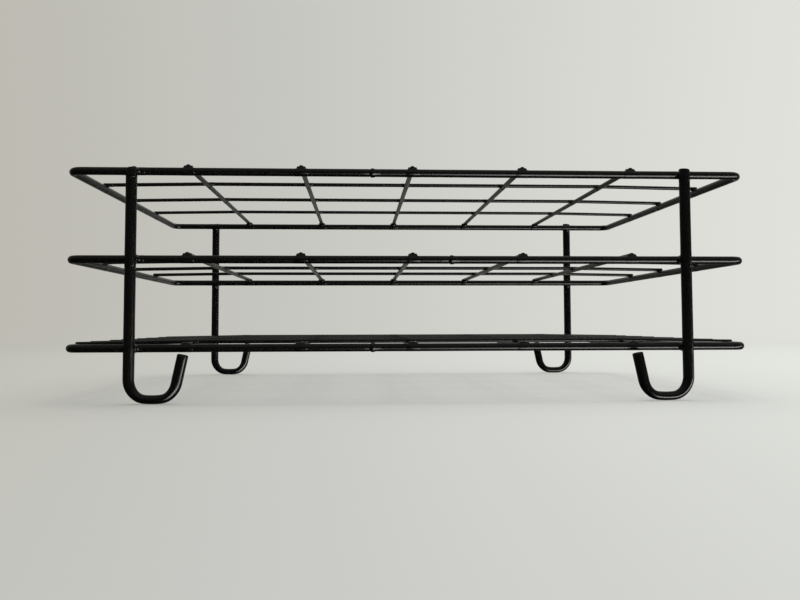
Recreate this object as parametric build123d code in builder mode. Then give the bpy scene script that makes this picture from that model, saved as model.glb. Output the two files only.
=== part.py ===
import math
import os

from build123d import *

os.makedirs("parts", exist_ok=True)

# Wire test tube rack for 24 tubes: three tiers on four legs.
# Millimetres, +Z up, +Y to the rear. The origin is on the floor under the middle of the rack.

# Places for the tubes
column_count = 6
row_count = 4
place_pitch = 35.0

# Coated wire diameters
leg_wire = 3.4
hoop_wire = 2.5
cross_wire = 1.6
long_wire = 1.3

# Hoops, measured between wire centres
end_place_allowance = 1.0
hoop_corner_radius = 3.5

# Heights of the tiers, measured at the hoop centres
foot_to_bottom_tier = 15.1
tier_spacing = 27.4
leg_top_above_hoop = 1.5

# How far a wire beds into the one it is welded on
cross_wire_sink = 0.55
long_wire_sink = 0.65
long_wire_end_sink = 0.2
leg_sink = 0.4

# Wire ends, set back from the outer edge of the hoop, and the bend of the long wires
cross_wire_setback = 0.8
long_wire_setback = 0.3
long_wire_bend_radius = 100.0

# Bottom shelf: two long wires under each row of places, all its wires pressed deeper into the hoop
shelf_pair_spacing = 14.0
shelf_drop = 0.5

# Legs and their J-shaped feet
leg_inset = 19.4
foot_bend_radius = 5.6
foot_bottom_radius = 20.0
foot_bottom_length = 4.6
foot_splay = 12.0
foot_tip_height = 13.2

# Sizes that follow from the ones above
cross_wire_count = column_count - 1
grid_wire_count = row_count - 1
hoop_length = column_count * place_pitch + 2 * end_place_allowance
hoop_depth = row_count * place_pitch
bottom_height = leg_wire / 2 + foot_to_bottom_tier
tier_heights = {
    "bottom": bottom_height,
    "middle": bottom_height + tier_spacing,
    "top": bottom_height + 2 * tier_spacing,
}
cross_rise = (hoop_wire + cross_wire) / 2 - cross_wire_sink
long_rise = cross_rise + (cross_wire + long_wire) / 2 - long_wire_sink
long_end_rise = (hoop_wire + long_wire) / 2 - long_wire_end_sink
cross_half_length = (hoop_depth + hoop_wire) / 2 - cross_wire_setback
long_half_length = (hoop_length + hoop_wire) / 2 - long_wire_setback
outer_cross_wire_x = (cross_wire_count - 1) / 2 * place_pitch
leg_x = hoop_length / 2 - leg_inset
leg_y = (hoop_depth + hoop_wire + leg_wire) / 2 - leg_sink
leg_top = tier_heights["top"] + leg_top_above_hoop
foot_bottom_turn = foot_bottom_length / foot_bottom_radius
foot_bottom_rise = foot_bottom_radius * (1 - math.cos(foot_bottom_turn / 2))
foot_bend_rise = foot_bottom_rise + foot_bend_radius * math.cos(foot_bottom_turn / 2)


def centred_row(count, spacing):
    """Places of equally spaced wires about the middle of the rack."""
    return [(index - (count - 1) / 2) * spacing for index in range(count)]


def make_hoop(height):
    """One closed rectangle of round wire with bent corners, in a level plane."""
    front = -hoop_depth / 2
    side = hoop_length / 2
    with BuildPart() as hoop:
        with BuildLine(Plane.XY.offset(height)) as half_route:
            FilletPolyline(
                (0, front), (side, front), (side, -front), (0, -front),
                radius=hoop_corner_radius,
            )
        with BuildSketch(Plane(origin=half_route.line @ 0, z_dir=half_route.line % 0)):
            Circle(hoop_wire / 2)
        sweep(path=half_route.line)
        mirror(about=Plane.YZ)
    return hoop.part


def make_cross_wire(x, height, hoop):
    """A straight wire from the front run to the rear run, bedded on top of the hoop."""
    with BuildPart() as wire:
        with BuildSketch(Plane.XZ):
            with Locations((x, height + cross_rise)):
                Circle(cross_wire / 2)
        extrude(amount=cross_half_length, both=True)
        add(hoop, mode=Mode.SUBTRACT)
    return wire.part


def make_long_wire(y, height, wires_below):
    """A wire along the rack on top of the cross wires, bent down at both ends onto the hoop."""
    bend_x = outer_cross_wire_x
    end_x = long_half_length
    slope = (long_rise - long_end_rise) / (hoop_length / 2 - bend_x)
    mid_z = height + long_rise
    end_z = mid_z - slope * (end_x - bend_x)
    with BuildPart() as wire:
        with BuildLine(Plane.XZ.offset(-y)) as route:
            FilletPolyline(
                (-end_x, end_z), (-bend_x, mid_z), (bend_x, mid_z), (end_x, end_z),
                radius=long_wire_bend_radius,
            )
        with BuildSketch(Plane(origin=route.line @ 0, z_dir=route.line % 0)):
            Circle(long_wire / 2)
        sweep(path=route.line)
        for wire_below in wires_below:
            add(wire_below, mode=Mode.SUBTRACT)
    return wire.part


def make_leg(x, y, hoops):
    """A thick upright outside the hoops, its lower end bent inward into a J-shaped foot."""
    inward = -1 if x > 0 else 1
    foot_z = leg_wire / 2
    bottom_turn = math.degrees(foot_bottom_turn)
    first_turn = 90 - bottom_turn / 2
    second_turn = first_turn - foot_splay
    with BuildPart() as leg:
        with BuildLine(Plane.XZ.offset(-y)) as route:
            upright = Line((x, leg_top), (x, foot_z + foot_bend_rise))
            first_bend = JernArc(upright @ 1, upright % 1, foot_bend_radius, first_turn * inward)
            bottom = JernArc(first_bend @ 1, first_bend % 1, foot_bottom_radius, bottom_turn * inward)
            second_bend = JernArc(bottom @ 1, bottom % 1, foot_bend_radius, second_turn * inward)
            tip_rise = foot_tip_height + foot_z - (second_bend @ 1).Z
            tip_length = tip_rise / (second_bend % 1).Z
            Line(second_bend @ 1, second_bend @ 1 + second_bend % 1 * tip_length)
        with BuildSketch(Plane(origin=upright @ 0, z_dir=upright % 0)):
            Circle(leg_wire / 2)
        sweep(path=route.line)
        for hoop in hoops:
            add(hoop, mode=Mode.SUBTRACT)
    return leg.part


def save(part, name):
    """Labels a finished piece and writes it under its own name."""
    part.label = name
    export_step(part, f"parts/{name}.step")


# Three tiers: a hoop, the cross wires on it and the long wires on those
hoops = []
for tier, height in tier_heights.items():
    hoop = make_hoop(height)
    hoops.append(hoop)
    save(hoop, f"{tier}_hoop")
    if tier == "bottom":
        row_centres = centred_row(row_count, place_pitch)
        half_pair = shelf_pair_spacing / 2
        long_wire_places = [y + side * half_pair for y in row_centres for side in (-1, 1)]
        grid_height = height - shelf_drop
    else:
        long_wire_places = centred_row(grid_wire_count, place_pitch)
        grid_height = height
    cross_wires = []
    for number, x in enumerate(centred_row(cross_wire_count, place_pitch), start=1):
        cross = make_cross_wire(x, grid_height, hoop)
        cross_wires.append(cross)
        save(cross, f"{tier}_cross_wire_{number}")
    for number, y in enumerate(long_wire_places, start=1):
        save(make_long_wire(y, grid_height, [hoop, *cross_wires]), f"{tier}_long_wire_{number}")

# Four legs, two outside the front runs and two outside the rear runs
for depth_name, y in (("front", -leg_y), ("rear", leg_y)):
    for side_name, x in (("left", -leg_x), ("right", leg_x)):
        save(make_leg(x, y, hoops), f"{depth_name}_{side_name}_leg")
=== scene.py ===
import math

import bpy
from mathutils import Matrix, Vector


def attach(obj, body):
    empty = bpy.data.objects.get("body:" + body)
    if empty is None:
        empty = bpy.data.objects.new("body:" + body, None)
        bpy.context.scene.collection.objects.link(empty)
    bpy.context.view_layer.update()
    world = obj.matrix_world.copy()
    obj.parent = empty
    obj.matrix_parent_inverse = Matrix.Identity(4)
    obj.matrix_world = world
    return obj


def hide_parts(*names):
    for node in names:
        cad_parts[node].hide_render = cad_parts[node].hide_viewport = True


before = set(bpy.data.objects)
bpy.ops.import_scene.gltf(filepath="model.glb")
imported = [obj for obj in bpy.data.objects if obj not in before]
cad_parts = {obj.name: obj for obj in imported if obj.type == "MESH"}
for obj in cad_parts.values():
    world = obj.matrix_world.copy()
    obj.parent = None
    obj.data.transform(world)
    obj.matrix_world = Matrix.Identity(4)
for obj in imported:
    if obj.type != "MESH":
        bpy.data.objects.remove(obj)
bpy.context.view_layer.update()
bpy.ops.object.select_all(action="DESELECT")


# The three hoops.
# Each is one length of mild steel wire, bent round a pin at every corner, its two ends
# butt-welded on the front run, and coated black together with the rest of the rack.
hoop_radius = 0.00125
hoop_half_length = 0.106
hoop_half_depth = 0.070
hoop_corner = 0.0035
hoop_heights = {"bottom": 0.0168, "middle": 0.0442, "top": 0.0716}
hoop_weld_x = {"middle": 0.0122, "top": -0.0127}
hoop_black = (0.0040, 0.0038, 0.0036)
hoop_black_thick = (0.0022, 0.0022, 0.0023)
# The bead of the butt weld, in steps along the wire with the size of each section
bead_swell = 1.20
bead_start = ((0.0005, 1.14), (0.0005, 1.0))
bead_end = ((0.0004, 0.95), (0.0003, 1.13), (0.0004, 1.20))
wire_step = 0.002


def start_wire(name, place, turn, radius, sides, cut_end):
    """Puts down the round section that a wire is drawn out from."""
    bpy.ops.object.select_all(action="DESELECT")
    bpy.ops.mesh.primitive_circle_add(
        vertices=sides, radius=radius, fill_type=cut_end, location=place, rotation=turn
    )
    wire = bpy.context.object
    wire.name = name
    bpy.ops.object.transform_apply(location=True, rotation=True, scale=True)
    bpy.ops.object.mode_set(mode="EDIT")
    bpy.ops.mesh.select_all(action="SELECT")
    return wire


def draw_run(run, step):
    """Draws the section out along a straight run, in even short steps."""
    run = Vector(run)
    steps = max(1, round(run.length / step))
    bpy.ops.mesh.extrude_repeat(steps=steps, offset=run / steps)


def draw_bend(centre, axis, angle, steps):
    """Draws the section round the pin that the wire is bent on."""
    bpy.ops.mesh.spin(steps=steps, angle=angle, center=centre, axis=axis)


def swell_section(centre, share):
    """Makes the section that was drawn last a little thicker or thinner."""
    bpy.ops.transform.resize(value=(share, share, share), center_override=centre)


def close_wire():
    """Joins the mesh up, turns its faces outwards and leaves edit mode."""
    bpy.ops.mesh.select_all(action="SELECT")
    bpy.ops.mesh.remove_doubles(threshold=0.000005)
    bpy.ops.mesh.normals_make_consistent(inside=False)
    bpy.ops.object.mode_set(mode="OBJECT")
    bpy.ops.object.shade_smooth()


def copy_piece(piece, name, shift, turn=(0.0, 0.0, 0.0)):
    """Another piece of the same kind, with a mesh of its own, at its own place."""
    bpy.ops.object.select_all(action="DESELECT")
    piece.select_set(True)
    bpy.context.view_layer.objects.active = piece
    bpy.ops.object.duplicate(linked=False)
    copy = bpy.context.object
    copy.name = name
    copy.location = shift
    copy.rotation_euler = turn
    bpy.ops.object.transform_apply(location=True, rotation=True, scale=True)
    return copy


def run_coat_uneven(wire, lump_size, depth):
    """Lets the coat lie a little thick and thin along the wire, as it cured."""
    lumps = bpy.data.textures.new(wire.name + "_lumps", "CLOUDS")
    lumps.noise_scale = lump_size
    bpy.ops.object.select_all(action="DESELECT")
    wire.select_set(True)
    bpy.context.view_layer.objects.active = wire
    bpy.ops.object.modifier_add(type="DISPLACE")
    coat = wire.modifiers[-1]
    coat.texture = lumps
    coat.texture_coords = "LOCAL"
    coat.mid_level = 0.5
    coat.strength = depth
    bpy.ops.object.modifier_apply(modifier=coat.name)


def make_black_coat(name, thin, thick, gloss_roughness, worn_roughness, peel_depth):
    """Cured black coat: near black, satin, with shallow orange peel, dull patches and nibs."""
    material = bpy.data.materials.new(name)
    material.use_nodes = True
    nodes = material.node_tree.nodes
    links = material.node_tree.links
    shader = nodes["Principled BSDF"]
    shader.inputs["IOR"].default_value = 1.5
    place = nodes.new("ShaderNodeTexCoord")

    # Where the coat is thin it looks a little brown, where it is thick a deeper black
    thickness = nodes.new("ShaderNodeTexNoise")
    thickness.inputs["Scale"].default_value = 70.0
    thickness.inputs["Detail"].default_value = 3.0
    shades = nodes.new("ShaderNodeValToRGB")
    shades.color_ramp.elements[0].position = 0.35
    shades.color_ramp.elements[0].color = (*thick, 1.0)
    shades.color_ramp.elements[1].position = 0.70
    shades.color_ramp.elements[1].color = (*thin, 1.0)
    links.new(place.outputs["Object"], thickness.inputs["Vector"])
    links.new(thickness.outputs["Fac"], shades.inputs["Fac"])
    links.new(shades.outputs["Color"], shader.inputs["Base Color"])

    # Handling has dulled it in patches
    rubbed = nodes.new("ShaderNodeTexNoise")
    rubbed.inputs["Scale"].default_value = 110.0
    rubbed.inputs["Detail"].default_value = 4.0
    rubbed.inputs["Roughness"].default_value = 0.55
    dulling = nodes.new("ShaderNodeMapRange")
    dulling.inputs["From Min"].default_value = 0.40
    dulling.inputs["From Max"].default_value = 0.75
    dulling.inputs["To Min"].default_value = gloss_roughness
    dulling.inputs["To Max"].default_value = worn_roughness
    links.new(place.outputs["Object"], rubbed.inputs["Vector"])
    links.new(rubbed.outputs["Fac"], dulling.inputs["Value"])
    links.new(dulling.outputs["Result"], shader.inputs["Roughness"])

    # Orange peel, about a millimetre from hump to hump
    peel = nodes.new("ShaderNodeTexNoise")
    peel.inputs["Scale"].default_value = 800.0
    peel.inputs["Detail"].default_value = 1.0
    peel_bump = nodes.new("ShaderNodeBump")
    peel_bump.inputs["Strength"].default_value = 1.0
    peel_bump.inputs["Distance"].default_value = peel_depth
    links.new(place.outputs["Object"], peel.inputs["Vector"])
    links.new(peel.outputs["Fac"], peel_bump.inputs["Height"])

    # A few nibs where grit lies under the coat
    grit = nodes.new("ShaderNodeTexVoronoi")
    grit.inputs["Scale"].default_value = 260.0
    nib = nodes.new("ShaderNodeMapRange")
    nib.interpolation_type = "SMOOTHSTEP"
    nib.inputs["From Min"].default_value = 0.10
    nib.inputs["From Max"].default_value = 0.02
    nib_bump = nodes.new("ShaderNodeBump")
    nib_bump.inputs["Strength"].default_value = 1.0
    nib_bump.inputs["Distance"].default_value = peel_depth
    links.new(place.outputs["Object"], grit.inputs["Vector"])
    links.new(grit.outputs["Distance"], nib.inputs["Value"])
    links.new(nib.outputs["Result"], nib_bump.inputs["Height"])
    links.new(peel_bump.outputs["Normal"], nib_bump.inputs["Normal"])
    links.new(nib_bump.outputs["Normal"], shader.inputs["Normal"])
    return material


hoop_coat = make_black_coat("hoop_coat", hoop_black, hoop_black_thick, 0.20, 0.28, 0.000003)
corner_x = hoop_half_length - hoop_corner
corner_y = hoop_half_depth - hoop_corner
hoops = {}
for tier, weld_x in hoop_weld_x.items():
    height = hoop_heights[tier]
    weld = Vector((weld_x, -hoop_half_depth, height))
    hoop = start_wire(
        f"coated_{tier}_hoop", weld, (0.0, math.radians(90), 0.0), hoop_radius, 20, "NOTHING"
    )
    # The bead stands proud of the wire, with a slight neck beside it on the left
    swell_section(weld, bead_swell)
    place = weld.copy()
    size = bead_swell
    for step, next_size in bead_start:
        draw_run((step, 0.0, 0.0), step)
        place.x += step
        swell_section(place, next_size / size)
        size = next_size
    draw_run((corner_x - place.x, 0.0, 0.0), wire_step)
    last_run = corner_x + weld_x - sum(step for step, next_size in bead_end)
    for centre, run in (
        ((corner_x, -corner_y, height), (0.0, 2 * corner_y, 0.0)),
        ((corner_x, corner_y, height), (-2 * corner_x, 0.0, 0.0)),
        ((-corner_x, corner_y, height), (0.0, -2 * corner_y, 0.0)),
        ((-corner_x, -corner_y, height), (last_run, 0.0, 0.0)),
    ):
        draw_bend(centre, (0.0, 0.0, -1.0), math.radians(90), 8)
        draw_run(run, wire_step)
    place = weld - Vector((sum(step for step, next_size in bead_end), 0.0, 0.0))
    for step, next_size in bead_end:
        draw_run((step, 0.0, 0.0), step)
        place.x += step
        swell_section(place, next_size / size)
        size = next_size
    close_wire()
    hoops[tier] = hoop
drop = (0.0, 0.0, hoop_heights["bottom"] - hoop_heights["top"])
hoops["bottom"] = copy_piece(hoops["top"], "coated_bottom_hoop", drop)
for tier, hoop in hoops.items():
    run_coat_uneven(hoop, 0.012, 0.00003)
    hoop.data.materials.append(hoop_coat)
    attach(hoop, "root")
    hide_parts(f"{tier}_hoop")


# The cross wires, five on every hoop.
# Thinner straight wires, sheared to length and resistance-welded down onto the front
# and rear runs, so their ends show as small round bumps over the hoop.
cross_radius = 0.0008
cross_half_length = 0.07045
cross_rise = 0.0015
cross_places = (-0.070, -0.035, 0.0, 0.035, 0.070)
# The wires of the bottom shelf are pressed deeper into their hoop
wire_drops = {"bottom": 0.0005, "middle": 0.0, "top": 0.0}


def round_cut_ends(depth):
    """Rounds the rims of the sheared ends, where the coat draws back from the edge."""
    bpy.ops.mesh.select_mode(type="FACE")
    bpy.ops.mesh.select_face_by_sides(number=4, type="GREATER", extend=False)
    bpy.ops.mesh.region_to_loop()
    bpy.ops.mesh.bevel(offset=depth, segments=3, affect="EDGES")
    bpy.ops.mesh.select_mode(type="VERT")


cross_coat = make_black_coat(
    "cross_wire_coat", (0.0044, 0.0041, 0.0039), (0.0024, 0.0024, 0.0025), 0.22, 0.30, 0.0000025
)
first_cross_wire = start_wire(
    "cross_wire_model",
    (0.0, -cross_half_length, 0.0),
    (math.radians(90), 0.0, 0.0),
    cross_radius,
    14,
    "NGON",
)
draw_run((0.0, 2 * cross_half_length, 0.0), 0.0022)
round_cut_ends(0.0003)
close_wire()
for tier, height in hoop_heights.items():
    for number, x in enumerate(cross_places, start=1):
        place = (x, 0.0, height + cross_rise - wire_drops[tier])
        cross_wire = copy_piece(first_cross_wire, f"coated_{tier}_cross_wire_{number}", place)
        run_coat_uneven(cross_wire, 0.009, 0.00003)
        cross_wire.data.materials.append(cross_coat)
        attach(cross_wire, "root")
        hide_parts(f"{tier}_cross_wire_{number}")
bpy.data.objects.remove(first_cross_wire)


# The long wires, three on the upper tiers and four pairs on the bottom shelf.
# The thinnest wires of the rack, welded on top of the cross wires and pressed down
# past the outer ones onto the side runs of the hoop.
long_radius = 0.00065
long_rise = 0.0023
long_end_rise = 0.0017
long_bend_x = 0.070
long_end_x = 0.10695
long_places = {
    "top": (-0.035, 0.0, 0.035),
    "middle": (-0.035, 0.0, 0.035),
    "bottom": (-0.0595, -0.0455, -0.0245, -0.0105, 0.0105, 0.0245, 0.0455, 0.0595),
}

long_coat = make_black_coat(
    "long_wire_coat", (0.0044, 0.0041, 0.0039), (0.0024, 0.0024, 0.0025), 0.22, 0.30, 0.0000025
)
first_long_wire = start_wire(
    "long_wire_model",
    (-long_end_x, 0.0, long_end_rise),
    (0.0, math.radians(90), 0.0),
    long_radius,
    12,
    "NGON",
)
draw_run((long_end_x - long_bend_x, 0.0, long_rise - long_end_rise), 0.0025)
draw_run((2 * long_bend_x, 0.0, 0.0), 0.0025)
draw_run((long_end_x - long_bend_x, 0.0, long_end_rise - long_rise), 0.0025)
round_cut_ends(0.00025)
close_wire()
for tier, places in long_places.items():
    for number, y in enumerate(places, start=1):
        place = (0.0, y, hoop_heights[tier] - wire_drops[tier])
        long_wire = copy_piece(first_long_wire, f"coated_{tier}_long_wire_{number}", place)
        run_coat_uneven(long_wire, 0.009, 0.00003)
        long_wire.data.materials.append(long_coat)
        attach(long_wire, "root")
        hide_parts(f"{tier}_long_wire_{number}")
bpy.data.objects.remove(first_long_wire)


# The four legs.
# The thickest wire, sheared at the top, welded upright against the front and rear runs
# and bent inwards at the bottom into a J-shaped foot with its tip a little splayed.
leg_radius = 0.0017
leg_x = 0.0866
leg_y = 0.07255
leg_top = 0.0731
leg_cut_slant = math.radians(5)
leg_cut_length = 0.002
foot_bend = 0.0056
foot_bottom_radius = 0.020
foot_bottom_length = 0.0046
foot_splay = math.radians(12)
foot_tip = 0.0149
foot_flattening = 0.80
foot_flat_height = 0.0042
# The legs are not all sheared to one length
leg_cut_backs = {
    "front_left": 0.0008,
    "front_right": 0.0,
    "rear_left": 0.0,
    "rear_right": -0.0007,
}

leg_coat = make_black_coat(
    "leg_coat", (0.0038, 0.0036, 0.0035), (0.0020, 0.0020, 0.0021), 0.18, 0.26, 0.000003
)
foot_bottom_turn = foot_bottom_length / foot_bottom_radius
first_turn = math.radians(90) - foot_bottom_turn / 2
aside = (foot_bottom_radius - foot_bend) * math.sin(foot_bottom_turn / 2)
below = (foot_bottom_radius - foot_bend) * math.cos(foot_bottom_turn / 2)
bottom_centre = Vector((-leg_x + foot_bend + aside, -leg_y, leg_radius + foot_bottom_radius))
first_centre = bottom_centre - Vector((aside, 0.0, below))
second_centre = bottom_centre + Vector((aside, 0.0, -below))
leg = start_wire(
    "coated_front_left_leg", (-leg_x, -leg_y, leg_top), (0.0, 0.0, 0.0), leg_radius, 24, "NGON"
)
bpy.ops.transform.rotate(
    value=leg_cut_slant, orient_axis="Y", center_override=(-leg_x, -leg_y, leg_top)
)
draw_run((0.0, 0.0, -leg_cut_length), leg_cut_length)
bpy.ops.transform.rotate(
    value=-leg_cut_slant,
    orient_axis="Y",
    center_override=(-leg_x, -leg_y, leg_top - leg_cut_length),
)
draw_run((0.0, 0.0, first_centre.z - leg_top + leg_cut_length), 0.0018)
draw_bend(first_centre, (0.0, 1.0, 0.0), first_turn, 11)
draw_bend(bottom_centre, (0.0, 1.0, 0.0), foot_bottom_turn, 4)
draw_bend(second_centre, (0.0, 1.0, 0.0), first_turn - foot_splay, 9)
tip_rise = foot_tip - second_centre.z + foot_bend * math.sin(foot_splay)
draw_run((tip_rise * math.tan(foot_splay), 0.0, tip_rise), 0.0014)
round_cut_ends(0.0004)
close_wire()

# The forming block has pressed the foot a little flat where it stands
bpy.ops.object.mode_set(mode="EDIT")
bpy.ops.mesh.select_all(action="DESELECT")
bpy.ops.object.mode_set(mode="OBJECT")
for vertex in leg.data.vertices:
    across = first_centre.x - 0.0011 < vertex.co.x < second_centre.x + 0.001
    vertex.select = across and vertex.co.z < foot_flat_height
bpy.ops.object.mode_set(mode="EDIT")
bpy.ops.transform.resize(
    value=(1.0, 1.0, foot_flattening),
    center_override=(bottom_centre.x, -leg_y, 0.0),
    use_proportional_edit=True,
    proportional_edit_falloff="SMOOTH",
    proportional_size=0.005,
)
bpy.ops.object.mode_set(mode="OBJECT")

legs = {"front_left": leg}
legs["rear_left"] = copy_piece(leg, "coated_rear_left_leg", (0.0, 2 * leg_y, 0.0))
for depth_name in ("front", "rear"):
    right_leg = copy_piece(
        legs[f"{depth_name}_left"], f"coated_{depth_name}_right_leg", (0.0, 0.0, 0.0)
    )
    bpy.ops.transform.mirror(
        constraint_axis=(True, False, False), center_override=(0.0, 0.0, 0.0)
    )
    bpy.ops.object.transform_apply(location=True, rotation=True, scale=True)
    bpy.ops.object.mode_set(mode="EDIT")
    bpy.ops.mesh.select_all(action="SELECT")
    bpy.ops.mesh.normals_make_consistent(inside=False)
    bpy.ops.object.mode_set(mode="OBJECT")
    legs[f"{depth_name}_right"] = right_leg
for name, leg in legs.items():
    for vertex in leg.data.vertices:
        if vertex.co.z > leg_top - 0.75 * leg_cut_length:
            vertex.co.z -= leg_cut_backs[name]
    run_coat_uneven(leg, 0.012, 0.00005)
    leg.data.materials.append(leg_coat)
    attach(leg, "root")
    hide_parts(f"{name}_leg")


# The joints where wire crosses wire.
# Each crossing is resistance-welded, and the coat gathers there in a small smooth web
# that fills the sharp corner between the two wires.
weld_coat = make_black_coat(
    "weld_coat", (0.0040, 0.0038, 0.0036), (0.0022, 0.0022, 0.0023), 0.18, 0.26, 0.000003
)


def gather_coat(name, rods, grain, settling, share_kept):
    """Melts short rods into one lump with a soft web in the corners between them."""
    bpy.ops.object.select_all(action="DESELECT")
    stubs = []
    for place, turn, radius, length in rods:
        bpy.ops.mesh.primitive_cylinder_add(
            vertices=20, radius=radius, depth=length, location=place, rotation=turn
        )
        stubs.append(bpy.context.object)
    for stub in stubs:
        stub.select_set(True)
    bpy.ops.object.join()
    lump = bpy.context.object
    lump.name = name
    bpy.ops.object.transform_apply(location=True, rotation=True, scale=True)
    for kind, settings in (
        ("REMESH", {"mode": "VOXEL", "voxel_size": grain}),
        ("SMOOTH", {"factor": 0.5, "iterations": settling}),
        ("DECIMATE", {"ratio": share_kept}),
    ):
        bpy.ops.object.modifier_add(type=kind)
        modifier = lump.modifiers[-1]
        for setting, value in settings.items():
            setattr(modifier, setting, value)
        bpy.ops.object.modifier_apply(modifier=modifier.name)
    bpy.ops.object.shade_smooth()
    return lump


def set_lumps(lump, name, places):
    """Puts the same lump at every joint of a tier and joins them into one piece."""
    lumps = [copy_piece(lump, name, place, turn) for place, turn in places]
    bpy.ops.object.select_all(action="DESELECT")
    for one in lumps:
        one.select_set(True)
    bpy.context.view_layer.objects.active = lumps[0]
    bpy.ops.object.join()
    joined = bpy.context.object
    joined.name = name
    return joined


along_x = (0.0, math.radians(90), 0.0)
along_y = (math.radians(90), 0.0, 0.0)
upright = (0.0, 0.0, 0.0)
level = (0.0, 0.0, 0.0)
half_turn = (0.0, 0.0, math.pi)
middle = (0.0, 0.0, 0.0)
# How far the coat on a lump stands out over the coat on the wires
proud = 0.00004
hoop_lump_radius = hoop_radius + proud
cross_lump_radius = cross_radius + proud
long_lump_radius = long_radius + proud

# A long wire over a cross wire. Each rod is given by its middle, its turn, radius and length
crossing_lump = gather_coat(
    "crossing_lump",
    (
        ((0.0, 0.0, cross_rise), along_y, cross_lump_radius, 0.0036),
        ((0.0, 0.0, long_rise), along_x, long_lump_radius, 0.0036),
    ),
    grain=0.00011,
    settling=8,
    share_kept=0.11,
)
# How far the coat gathers up and down a leg from each hoop, and the size of the web there
leg_offset = leg_y - hoop_half_depth
leg_reach_down = 0.0026
leg_reaches_up = {"bottom": 0.0026, "middle": 0.0026, "top": 0.0003}
leg_web_radii = {"bottom": 0.00165, "middle": 0.00165, "top": 0.00125}
leg_web_shift = 0.00055
for tier, height in hoop_heights.items():
    # A leg against the front run, with the web on its inner side, where the welding tip pressed
    leg_lumps = {}
    reach_up = leg_reaches_up[tier]
    leg_middle = (0.0, -leg_offset, (reach_up - leg_reach_down) / 2)
    for side, inward in (("left", 1), ("right", -1)):
        web_middle = (inward * leg_web_shift, -leg_offset / 2, 0.0)
        leg_lumps[side] = gather_coat(
            f"{side}_leg_lump",
            (
                (middle, along_x, hoop_lump_radius, 0.0078),
                (leg_middle, upright, leg_radius + proud, reach_up + leg_reach_down),
                (web_middle, along_y, leg_web_radii[tier], leg_offset),
            ),
            grain=0.00018,
            settling=12,
            share_kept=0.24,
        )
    # A cross wire's end on the front run, and the same lump turned round for the rear run
    wire_drop = wire_drops[tier]
    cross_end_lump = gather_coat(
        "cross_end_lump",
        (
            (middle, along_x, hoop_lump_radius, 0.0046),
            ((0.0, 0.0011, cross_rise - wire_drop), along_y, cross_lump_radius, 0.0030),
            ((0.0, 0.0003, 0.0009 - wire_drop / 2), along_x, 0.0011, 0.0028),
        ),
        grain=0.00013,
        settling=10,
        share_kept=0.16,
    )
    # A long wire's end on the right side run, and turned round for the left
    long_end_lump = gather_coat(
        "long_end_lump",
        (
            (middle, along_y, hoop_lump_radius, 0.0040),
            ((-0.0009, 0.0, long_end_rise - wire_drop), along_x, long_lump_radius, 0.0034),
        ),
        grain=0.00013,
        settling=8,
        share_kept=0.14,
    )
    ends = []
    for x in cross_places:
        ends.append(((x, -hoop_half_depth, height), level))
        ends.append(((x, hoop_half_depth, height), half_turn))
    crossings = []
    for y in long_places[tier]:
        crossings.extend(((x, y, height - wire_drop), level) for x in cross_places)
    sides = []
    for y in long_places[tier]:
        sides.append(((hoop_half_length, y, height), level))
        sides.append(((-hoop_half_length, y, height), half_turn))
    left_legs = [
        ((-leg_x, -hoop_half_depth, height), level),
        ((leg_x, hoop_half_depth, height), half_turn),
    ]
    right_legs = [
        ((leg_x, -hoop_half_depth, height), level),
        ((-leg_x, hoop_half_depth, height), half_turn),
    ]
    for lump, kind, places in (
        (cross_end_lump, "cross_wire_welds", ends),
        (crossing_lump, "crossing_welds", crossings),
        (long_end_lump, "long_wire_end_welds", sides),
        (leg_lumps["left"], "leg_welds_left", left_legs),
        (leg_lumps["right"], "leg_welds_right", right_legs),
    ):
        welds = set_lumps(lump, f"{tier}_{kind}", places)
        welds.data.materials.append(weld_coat)
        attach(welds, "root")
    for lump in (cross_end_lump, long_end_lump, *leg_lumps.values()):
        bpy.data.objects.remove(lump)
bpy.data.objects.remove(crossing_lump)


# The table under the rack.
# A plain pale painted top with a painted light falloff across it, which runs on into the pale
# wall behind without an edge.
table_half = 5.0
# A fixed place on the table, under where the camera of the photograph stands
table_viewpoint = (-0.0169, -0.3193, 0.0)
# Painted light falloff: table and wall are painted greyer on the left and lighter on the right
pale_shaded_left = (0.485, 0.468, 0.413, 1.0)
pale_middle = (0.578, 0.578, 0.546, 1.0)
pale_lit_right = (0.753, 0.761, 0.716, 1.0)


def combine(tree, operation, first, second):
    """Two numbers added, multiplied, divided or compared."""
    node = tree.nodes.new("ShaderNodeMath")
    node.operation = operation
    for socket, value in zip(node.inputs, (first, second)):
        if isinstance(value, float):
            socket.default_value = value
        else:
            tree.links.new(value, socket)
    return node.outputs["Value"]


def ease(tree, value, start, end, low, high):
    """A soft step of a value from one level to another."""
    step = tree.nodes.new("ShaderNodeMapRange")
    step.interpolation_type = "SMOOTHSTEP"
    step.inputs["From Min"].default_value = start
    step.inputs["From Max"].default_value = end
    step.inputs["To Min"].default_value = low
    step.inputs["To Max"].default_value = high
    tree.links.new(value, step.inputs["Value"])
    return step.outputs["Result"]


def length_of(tree, vector):
    """How far a place is from the middle of its own space."""
    length = tree.nodes.new("ShaderNodeVectorMath")
    length.operation = "LENGTH"
    tree.links.new(vector, length.inputs[0])
    return length.outputs["Value"]


def blend_shaders(tree, share, first, second):
    """The first surface, with a share of the second one laid over it."""
    blend = tree.nodes.new("ShaderNodeMixShader")
    tree.links.new(share, blend.inputs["Fac"])
    tree.links.new(first, blend.inputs[1])
    tree.links.new(second, blend.inputs[2])
    return blend.outputs["Shader"]


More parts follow.
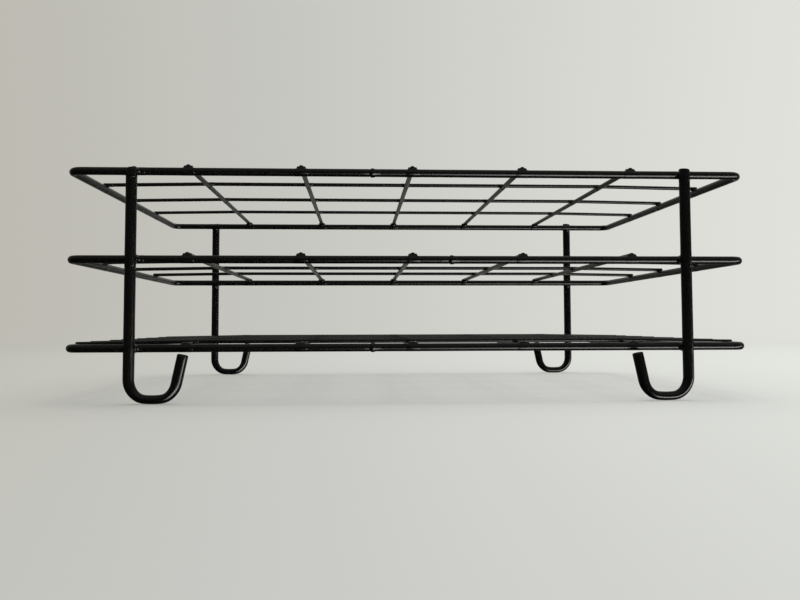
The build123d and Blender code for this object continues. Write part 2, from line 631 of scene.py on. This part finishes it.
def pale_painted_falloff(tree, direction):
    """Painted light falloff of table and wall: shaded greyer on the left, lit lighter on the
    right.
    """
    split = tree.nodes.new("ShaderNodeSeparateXYZ")
    spread = tree.nodes.new("ShaderNodeMapRange")
    spread.inputs["From Min"].default_value = -0.6
    spread.inputs["From Max"].default_value = 0.6
    sweep = tree.nodes.new("ShaderNodeValToRGB")
    left, right = sweep.color_ramp.elements
    left.position = 0.08
    left.color = pale_shaded_left
    right.position = 0.92
    right.color = pale_lit_right
    sweep.color_ramp.elements.new(0.46).color = pale_middle
    tree.links.new(direction, split.inputs["Vector"])
    tree.links.new(split.outputs["X"], spread.inputs["Value"])
    tree.links.new(spread.outputs["Result"], sweep.inputs["Fac"])
    return sweep.outputs["Color"]


def seen_ray(tree):
    """One for a ray that shows the surface itself: camera, glossy or transmission."""
    path = tree.nodes.new("ShaderNodeLightPath")
    seen = combine(
        tree, "MAXIMUM", path.outputs["Is Camera Ray"], path.outputs["Is Glossy Ray"]
    )
    return path, combine(tree, "MAXIMUM", seen, path.outputs["Is Transmission Ray"])


bpy.ops.object.select_all(action="DESELECT")
bpy.ops.mesh.primitive_grid_add(x_subdivisions=8, y_subdivisions=8, size=2 * table_half)
table = bpy.context.object
table.name = "table_top"
table_paint = bpy.data.materials.new("table_paint")
table_paint.use_nodes = True
tree = table_paint.node_tree
tree.nodes.remove(tree.nodes["Principled BSDF"])
place = tree.nodes.new("ShaderNodeTexCoord").outputs["Object"]

# The tone fans out from that viewpoint, so that in the photograph's view it meets the same
# tone of the wall. It is fixed on the table, and doesn't move with the camera
from_viewpoint = tree.nodes.new("ShaderNodeVectorMath")
from_viewpoint.operation = "SUBTRACT"
from_viewpoint.inputs[1].default_value = table_viewpoint
heading = tree.nodes.new("ShaderNodeVectorMath")
heading.operation = "DIVIDE"
tree.links.new(place, from_viewpoint.inputs[0])
tree.links.new(from_viewpoint.outputs["Vector"], heading.inputs[0])
reach = combine(tree, "ADD", length_of(tree, from_viewpoint.outputs["Vector"]), 0.10)
tree.links.new(reach, heading.inputs[1])
pale = pale_painted_falloff(tree, heading.outputs["Vector"])

# Near the rack the top takes more of the lamp's light and shadow, far off it only glows with
# its painted light falloff
path, seen = seen_ray(tree)
shown_share = combine(
    tree, "MULTIPLY", ease(tree, length_of(tree, place), 0.25, 1.2, 0.45, 1.0), seen
)
lit = tree.nodes.new("ShaderNodeBsdfDiffuse")
shown = tree.nodes.new("ShaderNodeEmission")
tree.links.new(pale, lit.inputs["Color"])
tree.links.new(pale, shown.inputs["Color"])
top = blend_shaders(tree, shown_share, lit.outputs["BSDF"], shown.outputs["Emission"])

# What the coat mirrors of the table is painted in the room, with the rest of what it mirrors
looked_past = tree.nodes.new("ShaderNodeBsdfTransparent")
surface = blend_shaders(tree, path.outputs["Is Glossy Ray"], top, looked_past.outputs["BSDF"])
tree.links.new(surface, tree.nodes["Material Output"].inputs["Surface"])
table_paint.cycles.emission_sampling = "NONE"
table.data.materials.append(table_paint)


# The room around it.
# The pale wall shows behind the rack. What the coat mirrors is painted reflection: the wall
# dimly, a brighter ceiling, and the side behind the camera dark
# but for a window low on the right.
window_slope = math.radians(-43)
painted_window_glow = 8.0
ambient_colour = (0.92, 0.96, 1.0, 1.0)
ambient_strength = 0.52

room = bpy.data.worlds.new("room")
bpy.context.scene.world = room
room.use_nodes = True
tree = room.node_tree
toward = tree.nodes.new("ShaderNodeTexCoord").outputs["Generated"]
wall = tree.nodes["Background"]
path, seen = seen_ray(tree)
# The wall carries the same painted light falloff as the table
tree.links.new(pale_painted_falloff(tree, toward), wall.inputs["Color"])


def share_along(axis):
    """How far a direction in the room points along an axis."""
    dot = tree.nodes.new("ShaderNodeVectorMath")
    dot.operation = "DOT_PRODUCT"
    tree.links.new(toward, dot.inputs[0])
    dot.inputs[1].default_value = axis
    return dot.outputs["Value"]


back = ease(tree, share_along((0.0, 1.0, 0.0)), 0.0, 1.0, 0.08, 0.40)
ceiling = ease(tree, share_along((0.0, 0.0, 1.0)), 0.1, 0.9, 0.0, 0.24)
ground = ease(tree, share_along((0.0, 0.0, 1.0)), -0.5, 0.0, 0.20, 1.0)
mirrored = combine(tree, "MULTIPLY", combine(tree, "ADD", back, ceiling), ground)

# The window is a painted reflection, which only mirrored rays see. It lies below the level of
# the table, which mirrored rays look past. It is soft at its left, upper and lower edges, and
# runs on to the right
window_axis = (0.0, -math.cos(window_slope), math.sin(window_slope))
window_rise = (0.0, math.sin(window_slope), math.cos(window_slope))
depth = share_along(window_axis)
aside = combine(tree, "DIVIDE", share_along((1.0, 0.0, 0.0)), depth)
above = combine(tree, "DIVIDE", share_along(window_rise), depth)
above = combine(tree, "ABSOLUTE", above, 0.0)
window_reflection_mask = combine(
    tree,
    "MULTIPLY",
    ease(tree, aside, 0.02, 0.22, 0.0, 1.0),
    ease(tree, above, 0.20, 0.34, 1.0, 0.0),
)
window_reflection_mask = combine(tree, "MULTIPLY", window_reflection_mask, combine(tree, "GREATER_THAN", depth, 0.05))
# The painted window reflection is added to what the coat mirrors
mirrored = combine(tree, "ADD", mirrored, combine(tree, "MULTIPLY", window_reflection_mask, painted_window_glow))
strength = tree.nodes.new("ShaderNodeMix")
strength.data_type = "FLOAT"
strength.inputs[2].default_value = 1.0
tree.links.new(path.outputs["Is Glossy Ray"], strength.inputs[0])
tree.links.new(mirrored, strength.inputs[3])
tree.links.new(strength.outputs[0], wall.inputs["Strength"])
ambient = tree.nodes.new("ShaderNodeBackground")
ambient.inputs["Color"].default_value = ambient_colour
ambient.inputs["Strength"].default_value = ambient_strength
around = blend_shaders(tree, seen, ambient.outputs["Background"], wall.outputs["Background"])
tree.links.new(around, tree.nodes["World Output"].inputs["Surface"])
room.cycles.sampling_method = "NONE"


# The lamp.
# A wide soft box over the table, which lights the table and the coat but is not mirrored.
soft_box_place = Vector((0.15, 0.25, 1.2))
bpy.ops.object.light_add(type="AREA", location=soft_box_place)
soft_box = bpy.context.object
soft_box.name = "soft_box"
soft_box.rotation_euler = (-soft_box_place).to_track_quat("-Z", "Y").to_euler()
soft_box.data.shape = "RECTANGLE"
soft_box.data.size = 1.3
soft_box.data.size_y = 1.0
soft_box.data.energy = 12.5
soft_box.data.color = (1.0, 0.99, 0.97)
soft_box.visible_camera = False
soft_box.visible_glossy = False


# The camera, at the angle of the photograph.
# The lens is given by its length in pixels on a frame that is 800 pixels wide.
lens_pixels = 797.5
frame_pixels = 800
sensor_width = 36.0
bpy.ops.object.camera_add(
    location=(-0.0169, -0.3193, 0.02383),
    rotation=(math.radians(93.14), math.radians(0.155), math.radians(-3.08)),
)
camera = bpy.context.object
camera.name = "camera"
camera.data.sensor_width = sensor_width
camera.data.lens = lens_pixels / frame_pixels * sensor_width
camera.data.shift_x = -0.0024
camera.data.shift_y = -0.0238
camera.data.clip_start = 0.01
bpy.context.scene.camera = camera
bpy.context.scene.view_settings.view_transform = "Standard"
